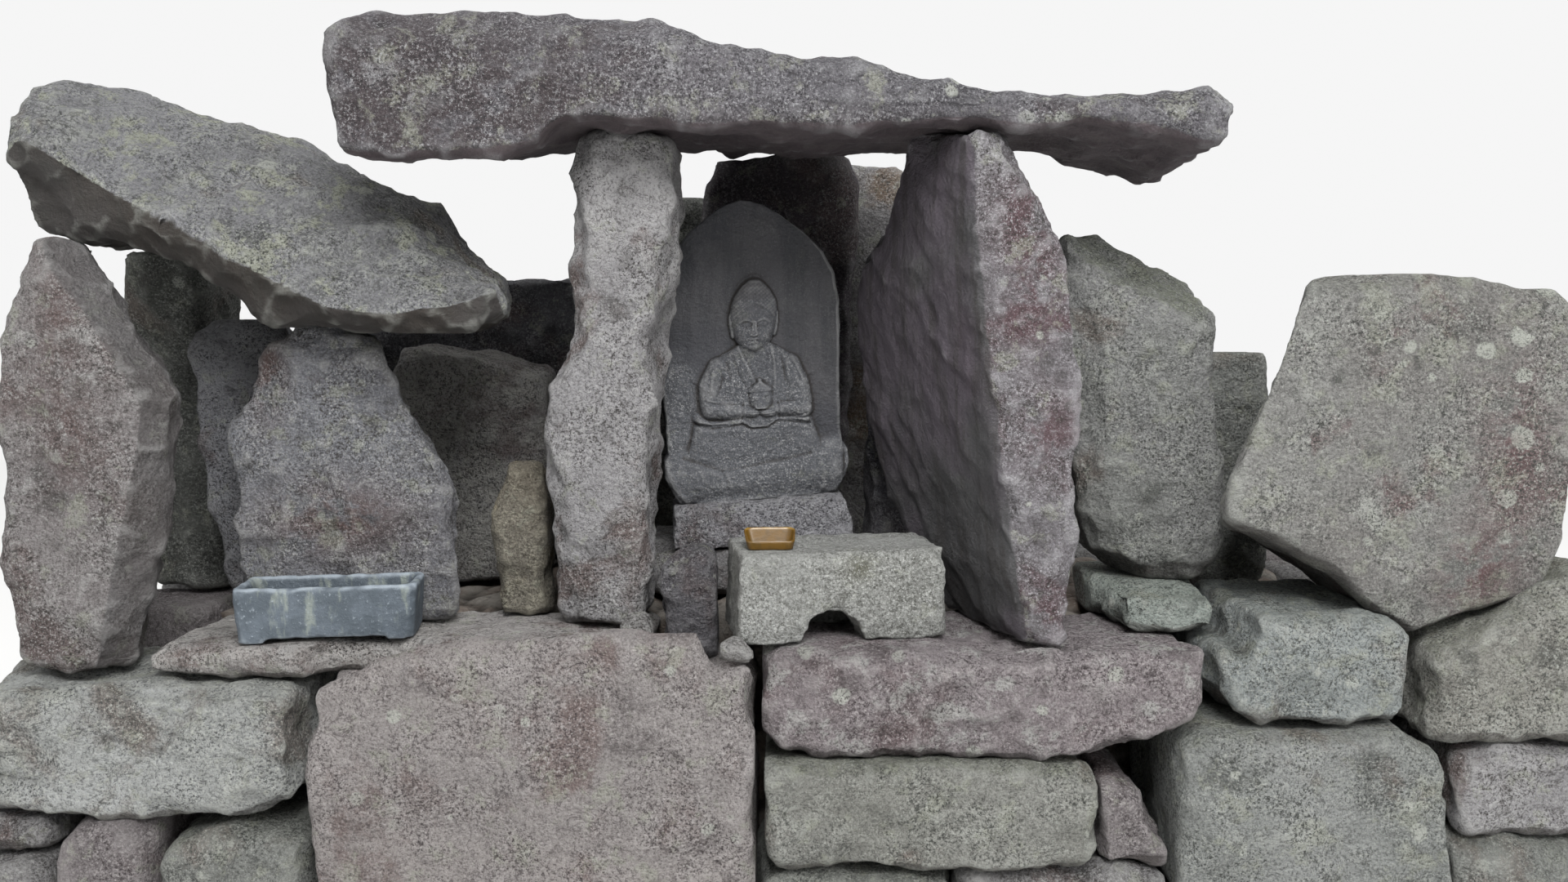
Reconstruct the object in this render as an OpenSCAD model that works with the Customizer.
// Dry-stone wayside shrine: a carved stele in a cell of two uprights and a roof slab,
// flanked by rough standing stones, on a coursed dry-stone base. Millimetres, +Z up,
// -Y towards the visitor, origin on the ground under the middle of the base.

/* [Levels] */
// Height of the terrace that the shrine stands on
terrace_z = 550; // [540:1:560]
// Height of the floor stones behind the offering table, above the terrace
platform_rise = 90; // [80:1:100]
// Height of the roof slab's bed at its front edge
roof_bed_z = 1326; // [1310:1:1340]

/* [Stone finish] */
// Depth of the broken arris along each stone's edges
arris = 16; // [8:1:20]
// How far the split faces wander from flat
wander = 7; // [0:0.5:9]

/* [Stele] */
// Width of the stele at its shoulders
stele_w = 352; // [330:1:360]
// Height of the stele above its seat
stele_h = 540; // [520:1:550]
// Thickness of the stele's backing slab
stele_t = 78; // [60:1:90]
// Height of the carved seat below the figure
seat_h = 86; // [70:1:100]
// Height of the separate pedestal block
pedestal_h = 86; // [70:1:95]
// Lean of the stele and pedestal to the left
stele_lean = 4.4; // [0:0.1:5]
// Turn of the stele and pedestal about the vertical
stele_turn = 5; // [0:0.5:8]

/* [Offering table] */
// Length of the table block
table_l = 336; // [320:1:345]
// Height of the table block
table_h = 140; // [120:1:145]
// Width of the table block from front to back
table_w = 175; // [150:1:180]
// Turn of the table about the vertical
table_turn = 9; // [5:0.5:10]
// Width of the arched niche in its foot
niche_w = 96; // [80:1:110]

/* [Vessels] */
// Length of the stone trough
trough_l = 276; // [260:1:290]
// Height of the stone trough
trough_h = 88; // [75:1:95]
// Wall thickness of the trough
trough_wall = 13; // [10:0.5:16]
// Length of the offering dish
dish_l = 84; // [75:1:95]

/* [Hidden] */

platform_z = terrace_z + platform_rise;
ledge_z = terrace_z - 54; // bed of the stones under the left bay
back_y = 500;             // rear face of the base
front_y = -520;           // front face of the lower courses
course_y = -500;          // front face of the top course
end_x = 1250;             // half the length of the base
joint = 8;                // open joint between neighbours in a course
roof_pitch = 0.08;        // rise of the roof slab's bed towards the back

granite_grey = "#8f8b85";
granite_dark = "#65625f";
granite_pale = "#b5b3a6";
stone_brown = "#7d716b";
stone_green = "#7f8578";

// Height of the roof slab's bed at a given depth
function roof_bed(y) = roof_bed_z + roof_pitch * (y - course_y);

// The V-shaped seat of the right boulder: two planes that meet at v_x
v_x = 968;
v_z = terrace_z + 3;
function v_seat(x) = v_z + (x < v_x ? 0.8 * (v_x - x) : 0.42 * (x - v_x));

function mean(list) = [for (k = [0:2]) sum([for (p = list) p[k]]) / len(list)];
function sum(list, i = 0) = i < len(list) ? list[i] + sum(list, i + 1) : 0;
// A repeatable number from -1 to 1 for point i of ring j
function chance(seed, j, i) = rands(-1, 1, 1, seed * 1009 + j * 101 + i * 7)[0];
function rough(seed, j, i) = wander * chance(seed, j, i);

// Closed skin over a stack of equal rings of points, with a fan over each end. The rings run
// along X, or upwards where upward is true, which turns the triangles the other way round
module skin(rings, upward = false) {
    n = len(rings[0]);
    m = len(rings);
    points = [for (ring = rings) each ring, mean(rings[0]), mean(rings[m - 1])];
    sides = [for (j = [0:m - 2], i = [0:n - 1])
        let (a = j * n + i, b = j * n + (i + 1) % n)
        each [[a, b, b + n], [a, b + n, a + n]]];
    ends = [for (i = [0:n - 1])
        let (b = (i + 1) % n, top = (m - 1) * n)
        each [[b, i, m * n], [top + i, top + b, m * n + 1]]];
    polyhedron(points, [for (f = concat(sides, ends)) upward ? [f[2], f[1], f[0]] : f]);
}

// Cross-section of a laid stone at length x, between its beds and its two faces. end is -1 or 1
// on the small rings that close the stone and 0 between them
function laid_section(x, low, high, front, back, c, seed, j, end, lip, lip_y, free_top) =
    let (
        in = end == 0 ? 0 : 0.8 * c,
        zl = low + in,
        zh = high - in,
        zf = zh + lip,
        yf = front + in,
        yb = back - in,
        ym = (yf + yb) / 2,
        side = function (i) end == 0 ? rough(seed, j, i) : -end * abs(rough(seed, j, i)),
        ring = [
            [0, yf + c, zl],
            [side(1), yf + rough(seed, j, 2), zl + c],
            [side(3), yf - 4 + rough(seed, j, 4), (zl + zf) / 2],
            [side(5), yf + rough(seed, j, 6), zf - c],
            [0, yf + c * 1.3, zf + free_top * rough(seed, j, 7)],
            [0, lip > 0 ? lip_y : ym, (lip > 0 ? zh : zf) + free_top * rough(seed, j, 8)],
            [0, yb - c, zh + free_top * rough(seed, j, 9)],
            [side(10), yb + rough(seed, j, 11), zh - c],
            [side(12), yb + rough(seed, j, 13), (zl + zh) / 2],
            [side(14), yb + rough(seed, j, 15), zl + c],
            [0, yb - c, zl],
            [0, ym, zl]
        ]
    ) [for (p = ring) [x + p[0], p[1], p[2]]];

// A stone laid on its bed. Each station is [x, low, high] and may add a lip height.
// free_top is 1 where nothing stands on the stone, so that its top wanders too
module laid_stone(stations, front, back, seed, lip_y = 0, free_top = 0) {
    last = len(stations) - 1;
    c = min([arris, for (s = stations) (s[2] - s[1]) / 4]);
    function section(j, x, end) =
        let (s = stations[j])
        laid_section(x, s[1], s[2], front, back, c, seed, j, end, len(s) > 3 ? s[3] : 0, lip_y,
            free_top);
    skin([
        section(0, stations[0][0], -1),
        for (j = [0:last]) section(j, stations[j][0] + (j == 0 ? c : j == last ? -c : 0), 0),
        section(last, stations[last][0], 1)
    ]);
}

// Plan of a standing stone at height z, from left to right and front to back. skew slides the
// back of its left and right sides along X; facet is the extra break on the two front arrises
function standing_section(z, left, right, front, back, c, in, seed, j, skew, facet) =
    let (
        xl = left + in,
        xr = right - in,
        yf = front + in,
        yb = back - in,
        xm = (xl + xr) / 2,
        ym = (yf + yb) / 2,
        plan = [
            [xl + c + facet[0], yf],
            [xm + (facet[0] - facet[1]) / 2 + rough(seed, j, 1), yf - 4 + rough(seed, j, 2)],
            [xr - c - facet[1], yf + rough(seed, j, 3) / 2],
            [xr, yf + c + facet[1]],
            [xr + rough(seed, j, 4), ym],
            [xr, yb - c],
            [xr - c, yb],
            [xm, yb + rough(seed, j, 5)],
            [xl + c, yb],
            [xl, yb - c],
            [xl + rough(seed, j, 6), ym],
            [xl, yf + c + facet[0]]
        ]
    ) [for (p = plan)
        let (t = (p[0] - xl) / (xr - xl))
        [p[0] + (skew[0] * (1 - t) + skew[1] * t) * (p[1] - front), p[1], z]];

// A stone set on end. Each station is [z, left, right, front, back]; bed = [height at y = 0, pitch]
// cuts its head to a sloping bed
module standing_stone(stations, seed, skew = [0, 0], facet = [0, 0], bed = undef) {
    last = len(stations) - 1;
    c = min([arris, for (s = stations) (s[2] - s[1]) / 5]);
    function section(j, z, in) =
        let (s = stations[j])
        standing_section(z, s[1], s[2], s[3], s[4], c, in, seed, j, skew, facet);
    function cut(ring, below) = is_undef(bed) ? ring
        : [for (p = ring) [p[0], p[1], bed[0] + bed[1] * p[1] - below]];
    skin([
        section(0, stations[0][0], c * 0.6),
        section(0, stations[0][0] + c, 0),
        for (j = [1:last - 1]) section(j, stations[j][0], 0),
        cut(section(last, stations[last][0] - c, 0), c),
        cut(section(last, stations[last][0], c * 0.6), 0)
    ], upward = true);
}

// Splits a stone along a plane through a point; the fresh face dips towards a heading
module split_off(at, dip, heading) {
    reach = 1400;
    difference() {
        children();
        translate(at) rotate([0, dip, heading]) translate([-reach / 2, -reach / 2, 0]) cube(reach);
    }
}

// A flagstone: its outline in plan, between two level beds
module flagstone(outline, low, high, seed) {
    centre = mean([for (p = outline) [p[0], p[1], 0]]);
    c = min(arris, (high - low) / 3);
    function inset(p, by) =
        let (v = [centre[0] - p[0], centre[1] - p[1]]) p + v * by / norm(v);
    function ring(z, by, j) = [for (i = [0:len(outline) - 1])
        let (p = inset(outline[i], by + (by > 0 ? 0 : rough(seed, j, i) / 2)))
        [p[0], p[1], z]];
    skin([ring(low, c, 0), ring(low + c, 0, 1), ring(high - c, 0, 2), ring(high, c, 3)], upward = true);
}

// The cell

// The roof slab runs along X. Each station is [x, front, front low, front high, back, back low,
// back high]; a low of 0 lies on the sloping bed. The tongue at the back bears on the back stone
module roof_slab() {
    brow = 46;
    stations = [
        [-674, -430, 1378, 1440, -90, 1404, 1452],
        [-652, -455, 1284, 1482, -60, 1350, 1482],
        [-560, -462, 1282, 1500, -40, 1350, 1496],
        [-430, -465, 1285, 1506, -20, 1354, 1504],
        [-368, -462, 1302, 1508, 0, 1362, 1500],
        [-330, -450, 0, 1508, 20, 0, 1498],
        [-205, -450, 0, 1496, 110, 0, 1492],
        [-115, -450, 0, 1458, 215, 0, 1476],
        [50, -450, 0, 1434, 236, 0, 1462],
        [180, -450, 0, 1418, 110, 0, 1446],
        [290, -450, 0, 1396, -10, 0, 1424],
        [420, -450, 0, 1386, -20, 1350, 1412],
        [540, -456, 1320, 1384, -30, 1318, 1402],
        [622, -462, 1304, 1381, -90, 1288, 1392],
        [657, -452, 1308, 1368, -130, 1290, 1376]
    ];
    function low(z, y) = z == 0 ? roof_bed(y) : z;
    function section(j) = let (
            s = stations[j],
            c = min(arris, (s[3] - low(s[2], s[1])) / 4),
            b = j < 7 ? brow : arris,
            yf = s[1] + c,
            yb = s[4] - c,
            ym = (s[1] + s[4]) / 2,
            zf = low(s[2], yf),
            zb = low(s[5], yb)
        ) [
            [s[0], yf, zf],
            [s[0], s[1] + rough(3, j, 1), zf + c],
            [s[0] + rough(3, j, 2), s[1] - 3 + rough(3, j, 3), (zf + s[3]) / 2],
            [s[0] + rough(3, j, 4), s[1] + rough(3, j, 5), s[3] - b],
            [s[0], s[1] + b * 1.1, s[3]],
            [s[0], ym, (s[3] + s[6]) / 2 + 8 + rough(3, j, 6)],
            [s[0], yb, s[6] + rough(3, j, 7)],
            [s[0], s[4] + rough(3, j, 8), s[6] - c],
            [s[0], s[4] + rough(3, j, 9), (zb + s[6]) / 2],
            [s[0], s[4], zb + c],
            [s[0], yb, zb],
            [s[0], ym, s[2] == 0 && s[5] == 0 ? roof_bed(ym) : (zf + zb) / 2]
        ];
    color(granite_dark) skin([for (j = [0:len(stations) - 1]) section(j)]);
}

module left_pillar() {
    head = roof_bed(-250);
    color(granite_grey) standing_stone([
        [terrace_z, -368, -225, -355, -160],
        [670, -379, -224, -358, -150],
        [780, -385, -219, -360, -150],
        [850, -387, -214, -358, -150],
        [930, -379, -209, -355, -150],
        [1020, -352, -207, -352, -152],
        [1130, -348, -190, -350, -155],
        [1240, -336, -173, -350, -160],
        [head, -331, -176, -345, -165]
    ], 11, [0, 0], [22, 0], [roof_bed(0), roof_pitch]);
}

// A slab on edge whose inner face splays open towards the visitor, its front shoulder split off
module right_pillar() {
    head = roof_bed(-250);
    color(stone_brown) split_off([287, -455, 1310], 62, -47) standing_stone([
        [terrace_z, 370, 438, -462, -200],
        [650, 350, 443, -466, -150],
        [730, 338, 446, -468, -70],
        [880, 318, 454, -470, -30],
        [1000, 302, 450, -466, -25],
        [1121, 290, 434, -458, -50],
        [1190, 286, 420, -452, -140],
        [1260, 280, 392, -444, -190],
        [head, 276, 366, -436, -240]
    ], 23, [-0.4, -0.4], [0, 0], [roof_bed(0), roof_pitch]);
}

module cell_side_stone_left() {
    color(granite_dark) standing_stone([
        [terrace_z, -372, -284, -134, 150],
        [760, -376, -282, -136, 154],
        [980, -372, -284, -134, 152],
        [1180, -366, -288, -130, 140],
        [1300, -352, -298, -118, 118]
    ], 31);
}

// Its head is split off at a slope, and daylight comes in over it
module cell_side_stone_right() {
    color(granite_dark) split_off([162, 40, 1164], 40, 180) standing_stone([
        [terrace_z, 160, 262, 26, 160],
        [760, 160, 286, 24, 164],
        [980, 160, 296, 24, 164],
        [1130, 160, 296, 26, 162],
        [1240, 166, 284, 34, 152]
    ], 41);
}

// The three back stones; the middle one stands in front under the tongue of the roof slab
module back_stone_left() {
    color(stone_green) standing_stone([
        [terrace_z, -322, -150, 312, 396],
        [760, -332, -146, 310, 400],
        [980, -330, -148, 310, 398],
        [1180, -318, -152, 314, 396],
        [1312, -296, -164, 322, 388]
    ], 37);
}

module back_stone_centre() {
    head = roof_bed(200);
    color(stone_brown) standing_stone([
        [terrace_z, -168, 104, 176, 300],
        [780, -174, 120, 174, 300],
        [1000, -172, 134, 174, 298],
        [1140, -170, 146, 176, 296],
        [1260, -168, 150, 178, 292],
        [head, -150, 138, 184, 286]
    ], 43, bed = [roof_bed(0), roof_pitch]);
}

module back_stone_right() {
    color(granite_grey) standing_stone([
        [terrace_z, 92, 286, 312, 402],
        [780, 96, 296, 310, 404],
        [1000, 98, 300, 310, 404],
        [1180, 104, 296, 314, 402],
        [1330, 112, 276, 322, 396],
        [1384, 128, 250, 334, 386]
    ], 47);
}

// The statue

statue_x = -42;
statue_y = -46;

// Puts a piece of the statue where it stands, leaning and turned
module statue_frame() {
    translate([statue_x, statue_y, platform_z])
        rotate([0, 0, stele_turn]) rotate([0, -stele_lean, 0]) children();
}

// Boat-shaped outline of the backing slab, widest a little below its shoulders
module stele_outline() {
    half = stele_w / 2;
    h = stele_h;
    right = [
        [0.94, 0.08], [0.95, 0.34], [1, 0.6], [0.97, 0.72],
        [0.84, 0.83], [0.67, 0.89], [0.3, 0.975], [0.1, 1]
    ];
    left = [for (k = [len(right) - 1:-1:0]) [-right[k][0], right[k][1]]];
    polygon([for (p = concat(right, left)) [p[0] * half, p[1] * h]]);
}

// A limb between two points, thick at each end; the figure's relief is made from these
module limb(a, ra, b, rb) {
    hull() {
        translate(a) sphere(ra, $fn = 14);
        translate(b) sphere(rb, $fn = 14);
    }
}

// The seated figure in half relief, measured from the middle of the seat's top
module seated_figure() {
    head_z = 238;
    // head, topknot and ears
    limb([0, 4, head_z], 38, [0, 0, head_z + 16], 38);
    limb([0, 6, head_z + 44], 24, [0, 8, head_z + 60], 19);
    for (side = [-1, 1]) limb([side * 37, 10, head_z + 10], 8, [side * 35, 10, head_z - 22], 7);
    // neck, chest and shoulders
    limb([0, 14, head_z - 40], 24, [0, 12, head_z - 66], 34);
    limb([-52, 14, 158], 34, [52, 14, 158], 34);
    limb([-52, 8, 110], 36, [52, 8, 110], 36);
    limb([-58, 8, 70], 34, [58, 8, 70], 34);
    for (side = [-1, 1]) {
        // upper arm, forearm and knee
        limb([side * 74, 12, 146], 25, [side * 88, 4, 84], 24);
        limb([side * 84, 2, 78], 22, [side * 20, -20, 86], 15);
        limb([side * 100, 6, 26], 26, [side * 20, -10, 24], 28);
    }
    // hands and the small jar that they hold
    limb([-20, -24, 84], 15, [20, -24, 84], 15);
    limb([0, -28, 104], 13, [0, -26, 126], 8);
}

module stele() {
    relief_y = -stele_t / 2;
    top_half = stele_w / 2 - 6;
    foot_half = stele_w / 2 - 46;
    color(granite_dark) statue_frame() translate([0, 0, pedestal_h]) {
        // carved seat under the figure, rounded in towards its foot
        hull() for (side = [-1, 1]) {
            translate([side * (top_half - 40), -18, seat_h - 4]) cylinder(h = 4, r = 34, $fn = 24);
            translate([side * (top_half - 40), -22, seat_h * 0.45]) cylinder(h = 26, r = 40, $fn = 24);
            translate([side * (foot_half - 34), -10, 0]) cylinder(h = 4, r = 34, $fn = 24);
        }
        translate([0, stele_t / 2, 0]) rotate([90, 0, 0]) linear_extrude(stele_t) stele_outline();
        translate([0, relief_y + 4, seat_h]) seated_figure();
    }
}

module pedestal() {
    half_l = 162;
    half_w = 92;
    sunk = 16;
    color(granite_grey) difference() {
        statue_frame() hull() {
            for (sx = [-1, 1], sy = [-1, 1]) {
                translate([sx * (half_l - 18), sy * (half_w - 14), pedestal_h - 8])
                    cylinder(h = 8, r = 12, $fn = 20);
                translate([sx * (half_l - 12), sy * (half_w - 12), -sunk])
                    cylinder(h = 40, r = 12, $fn = 20);
            }
        }
        translate([-500, -500, platform_z - 100]) cube([1000, 1000, 100]);
    }
}

// The floor of the cell

module floor_stone() {
    color(granite_grey) flagstone([
        [-252, -142], [-120, -148], [40, -150], [128, -140], [140, 0], [134, 150],
        [0, 160], [-140, 162], [-262, 150], [-270, 0]
    ], terrace_z, platform_z, 41);
}

module sill_stone_left() {
    color(granite_dark) laid_stone([
        [-204, ledge_z, 664], [-170, ledge_z, 670], [-108, ledge_z, 680]
    ], -370, -276, 45);
}

module sill_stone_right() {
    color(granite_grey) laid_stone([
        [-86, terrace_z, platform_z + 4], [40, terrace_z, platform_z - 2], [150, terrace_z, platform_z - 8]
    ], -230, -158, 49);
}

// Offerings

// A dressed block with chipped arrises and a small broken arch cut in its foot
module offering_table() {
    niche_deep = 120;
    niche_r = niche_w / 2;
    niche_x = 150;
    niche_h = 48;
    batter = 2.2;
    color(granite_pale) translate([-72, -462, terrace_z]) rotate([0, 0, table_turn])
    difference() {
        cube([table_l, table_w, table_h]);
        // the ends and the top fall a little out of square
        translate([-60, -1, -1]) rotate([0, batter, 0]) cube([60, table_w + 2, table_h + 20]);
        translate([table_l, -1, 0]) rotate([0, -batter, 0]) cube([60, table_w + 2, table_h + 20]);
        // broken arrises
        translate([0, 0, table_h]) rotate([45, 0, 0]) cube([2.2 * table_l, 10, 10], center = true);
        translate([table_l - 14, 0, table_h - 6]) rotate([32, 38, 18]) cube([60, 40, 22], center = true);
        translate([table_l - 2, 2, 40]) rotate([0, 8, 40]) cube([16, 16, 90], center = true);
        translate([0, 0, 60]) rotate([0, -3, 45]) cube([9, 9, 3 * table_h], center = true);
        // the niche
        translate([niche_x, -1, niche_h - niche_r]) rotate([-90, 0, 0])
            cylinder(h = niche_deep, r = niche_r, $fn = 48);
        translate([niche_x - niche_r, -1, -1]) cube([niche_w, niche_deep, niche_h - niche_r + 1.2]);
    }
}

// A shallow dish with rounded corners and flared sides
module dish_form(length, width, height, base) {
    corner = 11;
    hull() for (sx = [-1, 1], sy = [-1, 1]) {
        translate([sx * (length / 2 - corner), sy * (width / 2 - corner), height - 1])
            cylinder(h = 1, r = corner, $fn = 28);
        translate([sx * (length / 2 - corner - 5), sy * (width / 2 - corner - 5), base])
            cylinder(h = 1, r = corner - 2, $fn = 28);
    }
}

module offering_dish() {
    dish_w = dish_l * 0.66;
    rim = 3;
    low = 13; // rim's height in front
    high = 29; // and at the back
    color("#c9a227") translate([-22, -392, terrace_z + table_h]) rotate([0, 0, table_turn - 6])
    difference() {
        dish_form(dish_l, dish_w, high, 0);
        translate([0, 0, 0.01]) dish_form(dish_l - 2 * rim, dish_w - 2 * rim, high + 1, 4);
        translate([0, 0, (low + high) / 2]) rotate([atan((high - low) / dish_w), 0, 0])
            translate([-dish_l, -dish_l, 0]) cube(2 * dish_l);
    }
}

// Outline of the trough in plan, its corners cut off
module trough_plan(l, w, cut) {
    polygon([
        [cut, 0], [l - cut, 0], [l, cut], [l, w - cut],
        [l - cut, w], [cut, w], [0, w - cut], [0, cut]
    ]);
}

// Cut stone trough, splayed slightly, on two low feet
module trough() {
    w = 104;
    splay = 0.95;
    foot = 6;
    floor_t = 18;
    wall = trough_wall;
    color("#6b7480") translate([-846, -460, terrace_z]) rotate([0, 0, 8])
    difference() {
        translate([trough_l / 2, w / 2, trough_h]) mirror([0, 0, 1])
            linear_extrude(trough_h, scale = splay)
                translate([-trough_l / 2, -w / 2]) trough_plan(trough_l, w, 9);
        translate([trough_l / 2, w / 2, trough_h + 1]) mirror([0, 0, 1])
            linear_extrude(trough_h - floor_t, scale = 0.93)
                translate([wall - trough_l / 2, wall - w / 2])
                    trough_plan(trough_l - 2 * wall, w - 2 * wall, 6);
        translate([46, -1, -1]) cube([trough_l - 92, w + 2, foot + 1]);
    }
}

// The left bay

module left_upright() {
    color(granite_grey) standing_stone([
        [ledge_z, -1184, -1000, -446, -230],
        [617, -1190, -972, -450, -216],
        [738, -1192, -942, -452, -208],
        [839, -1194, -918, -452, -204],
        [926, -1194, -904, -450, -204],
        [1012, -1184, -958, -446, -206],
        [1100, -1166, -1014, -440, -210],
        [1176, -1148, -1052, -430, -214]
    ], 53, [-0.1, -0.55], [0, 44]);
}

// Tilted capstone. Each station is [x, arris height, top height, bed height]:
// the arris is the sharp front edge between the sloping face and the underside.
// Its right end is cut askew, so that the front runs out to a tip
module left_capstone() {
    rest = 1176;
    second_rest = 1040;
    askew = -0.2;
    stations = [
        [-1190, 1290, 1392, 1222],
        [-1174, 1312, 1428, 1196],
        [-1150, 1318, 1448, rest],
        [-1052, 1262, 1420, rest],
        [-937, 1196, 1384, 1140],
        [-853, 1150, 1350, 1086],
        [-790, 1114, 1322, second_rest],
        [-696, 1066, 1282, second_rest],
        [-597, 1054, 1232, 1026],
        [-515, 1074, 1166, 1030],
        [-436, 1098, 1122, 1060]
    ];
    last = len(stations) - 1;
    function section(j) = let (
            s = stations[j],
            tip = j == 0 || j == last ? 40 : 0,
            yf = -424 + tip,
            yb = -36 - tip,
            depth = (s[1] - s[3]) * 0.5,
            slide = askew * max(0, 1 - (last - j) / 2),
            ring = [
                [0, yf + max(depth, 26), s[3]],
                [0, yf + 8, s[1] - 16],
                [rough(59, j, 1), yf + rough(59, j, 2), s[1]],
                [0, yf + 30 + rough(59, j, 3), s[1] + (s[2] - s[1]) * 0.3],
                [0, yf + 92 + rough(59, j, 4), s[1] + (s[2] - s[1]) * 0.72],
                [0, yf + 176, s[2] - 4 + rough(59, j, 5)],
                [0, yb - 60, s[2] + rough(59, j, 6)],
                [0, yb - 10, s[2] - 24],
                [rough(59, j, 7), yb + rough(59, j, 8), (s[2] + s[3]) / 2],
                [0, yb - 14, s[3] + 24],
                [0, yb - 50, s[3]],
                [0, (yf + yb) / 2 + 40, s[3]]
            ]
        ) [for (p = ring) [s[0] + p[0] + slide * (p[1] - yf), p[1], p[2]]];
    color(stone_green) skin([for (j = [0:last]) section(j)]);
}

module left_leaning_slab() {
    color(stone_brown) standing_stone([
        [terrace_z, -918, -548, -300, -196],
        [660, -912, -534, -306, -190],
        [730, -904, -536, -308, -188],
        [810, -914, -556, -308, -186],
        [858, -924, -584, -306, -186],
        [925, -884, -622, -302, -186],
        [985, -862, -654, -298, -188],
        [1040, -812, -704, -290, -192]
    ], 61, [0, -0.35]);
}

module left_inner_stone() {
    color(granite_dark) standing_stone([
        [terrace_z, -990, -880, -176, -50],
        [700, -1012, -876, -176, -46],
        [900, -1038, -872, -176, -44],
        [996, -1042, -870, -174, -48],
        [1050, -1012, -882, -166, -58]
    ], 67);
}

// Its head falls away to the right
module left_back_stone() {
    color(granite_dark) split_off([-646, 70, 994], 13, 0) standing_stone([
        [terrace_z, -746, -462, 4, 150],
        [780, -750, -452, 0, 152],
        [905, -752, -452, 2, 150],
        [960, -750, -460, 6, 148],
        [1004, -742, -500, 14, 140]
    ], 71);
}

// Closes the left bay at the back, on the flank's top course and under the capstone
module left_rear_stone() {
    color(stone_green) standing_stone([
        [terrace_z - 8, -1206, -1024, -34, 96],
        [760, -1214, -1030, -34, 98],
        [960, -1210, -1050, -36, 98],
        [1100, -1198, -1050, -104, 90],
        [1176, -1178, -1058, -134, 70]
    ], 69);
}

// The bay's back wall, a split slab that stands on the core
module left_rear_slab() {
    color(granite_dark) split_off([-430, 210, 1136], 5, 180) standing_stone([
        [terrace_z, -1006, -406, 174, 268],
        [740, -1010, -400, 172, 270],
        [930, -1004, -402, 172, 270],
        [1080, -990, -404, 174, 268],
        [1160, -960, -412, 178, 262]
    ], 79);
}

module left_short_stone() {
    color("#8a8768") standing_stone([
        [terrace_z, -488, -398, -282, -190],
        [700, -488, -400, -284, -186],
        [816, -476, -404, -276, -194]
    ], 73);
}

// The right bay

// Its head is one split face that dips towards the visitor and to the right
module right_upright() {
    foot = terrace_z + 66;
    color(stone_green) split_off([488, -300, 1142], 37, -46) standing_stone([
        [foot, 556, 700, -296, -150],
        [660, 512, 722, -304, -140],
        [770, 486, 728, -306, -136],
        [905, 478, 716, -306, -134],
        [1035, 468, 708, -302, -132],
        [1120, 464, 704, -298, -132],
        [1196, 470, 690, -290, -140]
    ], 79, facet = [34, 0]);
}

module right_boulder() {
    color(stone_green) split_off([776, -462, 1103], 73.4, 153.4) laid_stone([
        [664, 742, 1084],
        [690, 732, 1092],
        [730, 716, 1098],
        [778, 690, 1104],
        [840, v_seat(840), 1108],
        [905, v_seat(905), 1110],
        [v_x, v_z, 1110],
        [1060, v_seat(1060), 1100],
        [1150, v_seat(1150), 1086],
        [1196, v_seat(1150) + 60, 1062]
    ], -462, -150, 83, free_top = 1);
}

module right_back_stone() {
    color(stone_green) standing_stone([
        [terrace_z, 756, 890, -90, 44],
        [800, 752, 896, -94, 46],
        [990, 776, 884, -88, 40]
    ], 89);
}

// The terrace

module terrace_slab_left() {
    color(granite_grey) flagstone([
        [-976, -452], [-860, -466], [-738, -468], [-724, -426], [-560, -424], [-370, -424], [-216, -424],
        [-214, -216], [-420, -212], [-640, -212], [-840, -212], [-960, -218]
    ], ledge_z, terrace_z, 97);
}

module terrace_slab_right() {
    color(stone_green) flagstone([
        [532, -404], [610, -410], [684, -404], [688, -260], [684, -130], [600, -124], [524, -132], [520, -270]
    ], terrace_z, terrace_z + 66, 101);
}

// Small stones that fill and wedge the joints: under the left pillar, in the notch of the
// biggest facing stone and under the far left one
module chink_stones() {
    color(granite_pale) {
        standing_stone([
            [terrace_z, -264, -206, -421, -388],
            [572, -256, -208, -420, -388],
            [590, -240, -216, -416, -392]
        ], 103);
        laid_stone([[-100, 536, 566], [-72, 536, 570], [-44, 536, 556]], -506, -470, 107);
    }
    color(stone_brown)
        laid_stone([[-1236, 238, 292], [-1180, 238, 292], [-1116, 238, 292]], course_y, -380, 163);
}

// The facing wall

lip_y = -430;             // back of the raised lip on the big left stone
wall_back = -222;         // back of the facing stones

module wall_stone_far_left() {
    color(stone_green) laid_stone([
        [-end_x, 304, ledge_z - 10], [-1110, 292, ledge_z], [-960, 292, ledge_z],
        [-800, 292, ledge_z], [-742, 312, ledge_z]
    ], course_y, wall_back, 109);
}

// The biggest facing stone: its front lip stands above the bed of the terrace slab
module wall_stone_left() {
    color(stone_brown) laid_stone([
        [-722, 160, 440, 0],
        [-704, 160, ledge_z, 0],
        [-600, 160, ledge_z, 58],
        [-480, 160, ledge_z, 78],
        [-300, 160, ledge_z, 92],
        [-125, 160, ledge_z, 92],
        [-104, 160, ledge_z, 40],
        [-44, 160, ledge_z, 40]
    ], front_y, wall_back, 113, lip_y);
}

module wall_stone_centre() {
    color(granite_pale) laid_stone([
        [-34, 404, terrace_z], [60, 382, terrace_z], [250, 382, terrace_z],
        [440, 382, terrace_z], [540, 404, terrace_z], [636, 450, terrace_z]
    ], course_y, wall_back, 127);
}

module wall_stone_right() {
    top = terrace_z + 56;
    color(stone_green) laid_stone([
        [652, 470, terrace_z], [696, 440, terrace_z], [714, 434, top], [770, 432, top],
        [v_x - 66, 432, v_seat(v_x - 66)], [948, 432, v_seat(948 - arris)]
    ], course_y, wall_back, 131);
}

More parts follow.
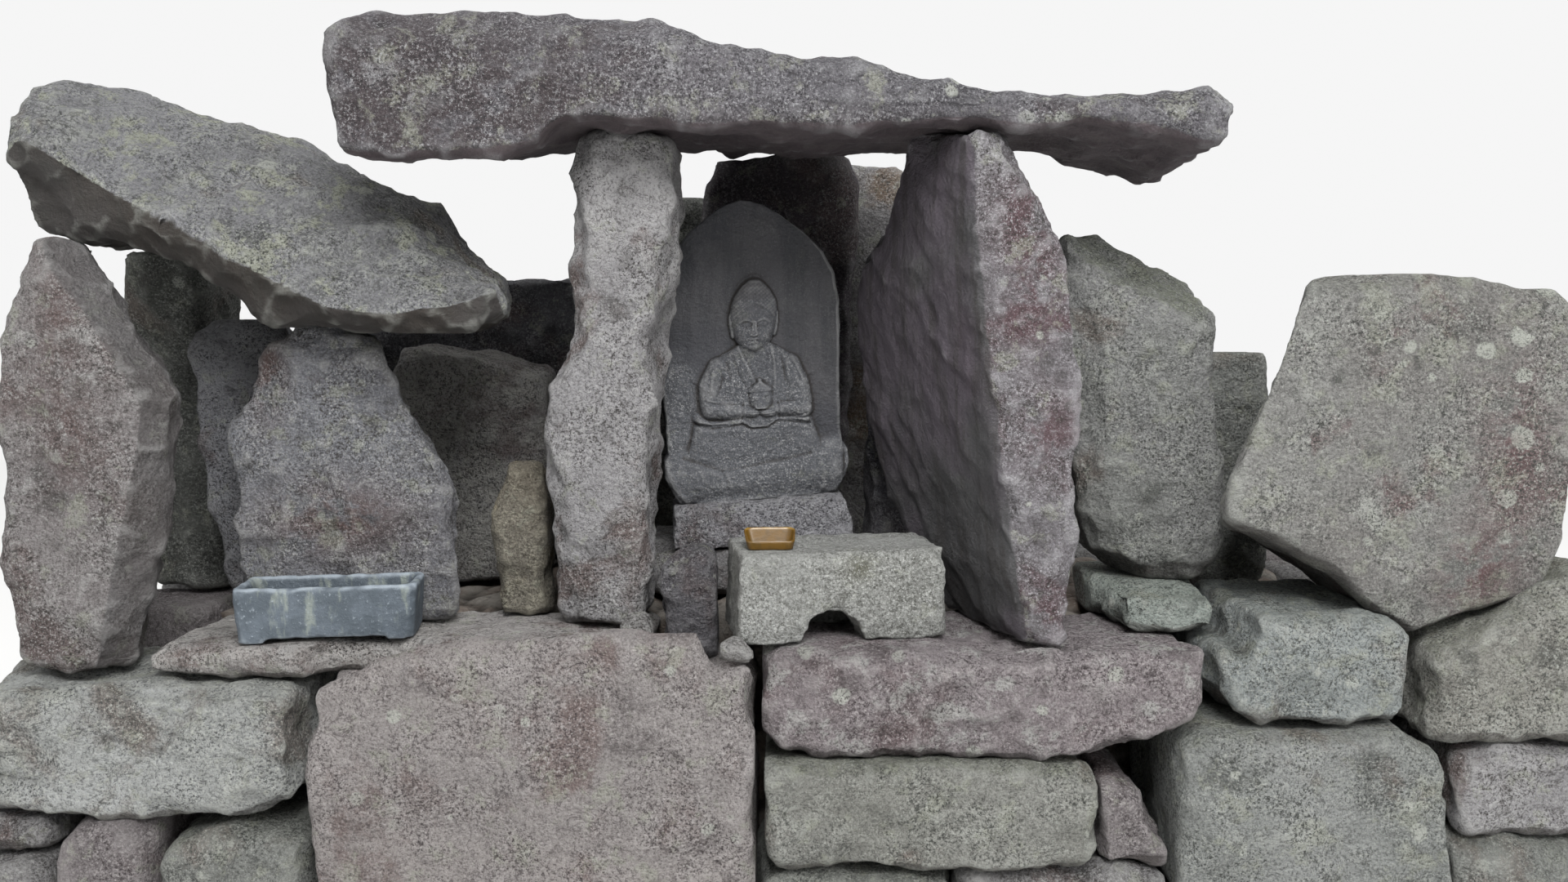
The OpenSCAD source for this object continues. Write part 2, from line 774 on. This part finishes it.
module wall_stone_far_right() {
    color(stone_green) laid_stone([
        [v_x + 12, 408, v_seat(v_x + 12)], [1090, 408, v_seat(1090)],
        [1190, 408, v_seat(1190)], [end_x, 408, v_seat(end_x)]
    ], course_y, wall_back, 137);
}

module lower_stone_centre() {
    color(stone_green) laid_stone([
        [-30, 212, 382], [120, 212, 382], [300, 212, 382], [430, 212, 382], [472, 226, 372]
    ], front_y, -212, 139);
}

module lower_stone_wedge() {
    color(granite_grey) laid_stone([
        [482, 212, 350], [540, 212, 330], [588, 212, 262]
    ], front_y + 14, -300, 149);
}

module lower_stone_right() {
    color(stone_green) laid_stone([
        [600, 160, 420], [650, 160, 432], [800, 160, 432], [920, 160, 432], [984, 160, 392], [1010, 160, 330]
    ], front_y, -212, 151);
}

module lower_stone_far_right() {
    color(granite_grey) laid_stone([
        [1020, 262, 392], [1090, 262, 408], [end_x, 262, 408]
    ], course_y, -212, 157);
}

// The lowest course, down to level ground
module foundation_course() {
    stones = [
        [[-end_x, 226], [-1180, 238], [-1114, 238]],
        [[-1106, 270], [-1060, 292], [-958, 292]],
        [[-950, 262], [-850, 280], [-732, 270]],
        [[-724, 160], [-560, 160], [-396, 160]],
        [[-388, 160], [-200, 160], [-46, 160]],
        [[-38, 212], [100, 212], [262, 212]],
        [[270, 212], [440, 212], [592, 212]],
        [[600, 160], [800, 160], [1010, 160]],
        [[1018, 262], [1130, 262], [end_x, 262]]
    ];
    for (k = [0:len(stones) - 1])
        color([stone_brown, granite_grey, stone_green][k % 3])
            laid_stone([for (s = stones[k]) [s[0], 0, s[1]]], front_y, -212, 179 + 6 * k);
}

// The sides, the back and the core

// One course of both flanks, two stones to a side
module flank_course(low, high, seed) {
    thick = 236;
    for (side = [0, 1], k = [0, 1]) {
        x0 = side == 0 ? -end_x : end_x - thick;
        reach = k == 0 ? [-188, 64 + 30 * side] : [72 + 30 * side, 290];
        color(k == 0 ? stone_green : stone_brown)
            laid_stone([[x0, low, high], [x0 + thick / 2, low, high], [x0 + thick, low, high]],
                reach[0] + wander, reach[1] - wander, seed + 2 * side + k);
    }
}

module flank_course_lower() {
    flank_course(0, 196, 229);
}

module flank_course_middle() {
    flank_course(196, 378, 239);
}

module flank_course_upper() {
    flank_course(378, terrace_z - 8, 251);
}

// One course of the back wall, its joints at the given places
module back_course(joints, low, high, seed) {
    for (k = [0:len(joints) - 2]) {
        x0 = joints[k] + joint / 2;
        x1 = joints[k + 1] - joint / 2;
        color([stone_green, granite_grey, stone_brown][k % 3])
            laid_stone([for (t = [0:1/3:1]) [x0 + (x1 - x0) * t, low, high]],
                306, back_y - 10 * (k % 2), seed + 3 * k);
    }
}

module back_course_lower() {
    back_course([-end_x, -860, -380, 120, 560, 900, end_x], 0, 190, 281);
}

module back_course_middle() {
    back_course([-end_x, -980, -560, -60, 380, 820, end_x], 190, 375, 307);
}

module back_course_upper() {
    back_course([-end_x, -760, -300, 200, 700, end_x], 375, terrace_z, 331);
}

// Packed rubble behind the facing, level with the terrace
module rubble_core() {
    color("#6f6458") translate([-1000, -204, 0]) cube([2000, 490, terrace_z]);
}

roof_slab();
left_pillar();
right_pillar();
cell_side_stone_left();
cell_side_stone_right();
back_stone_left();
back_stone_centre();
back_stone_right();
stele();
pedestal();
floor_stone();
sill_stone_left();
sill_stone_right();
offering_table();
offering_dish();
trough();
left_upright();
left_capstone();
left_leaning_slab();
left_inner_stone();
left_back_stone();
left_rear_stone();
left_rear_slab();
left_short_stone();
right_upright();
right_boulder();
right_back_stone();
terrace_slab_left();
terrace_slab_right();
chink_stones();
wall_stone_far_left();
wall_stone_left();
wall_stone_centre();
wall_stone_right();
wall_stone_far_right();
lower_stone_centre();
lower_stone_wedge();
lower_stone_right();
lower_stone_far_right();
foundation_course();
flank_course_lower();
flank_course_middle();
flank_course_upper();
back_course_lower();
back_course_middle();
back_course_upper();
rubble_core();
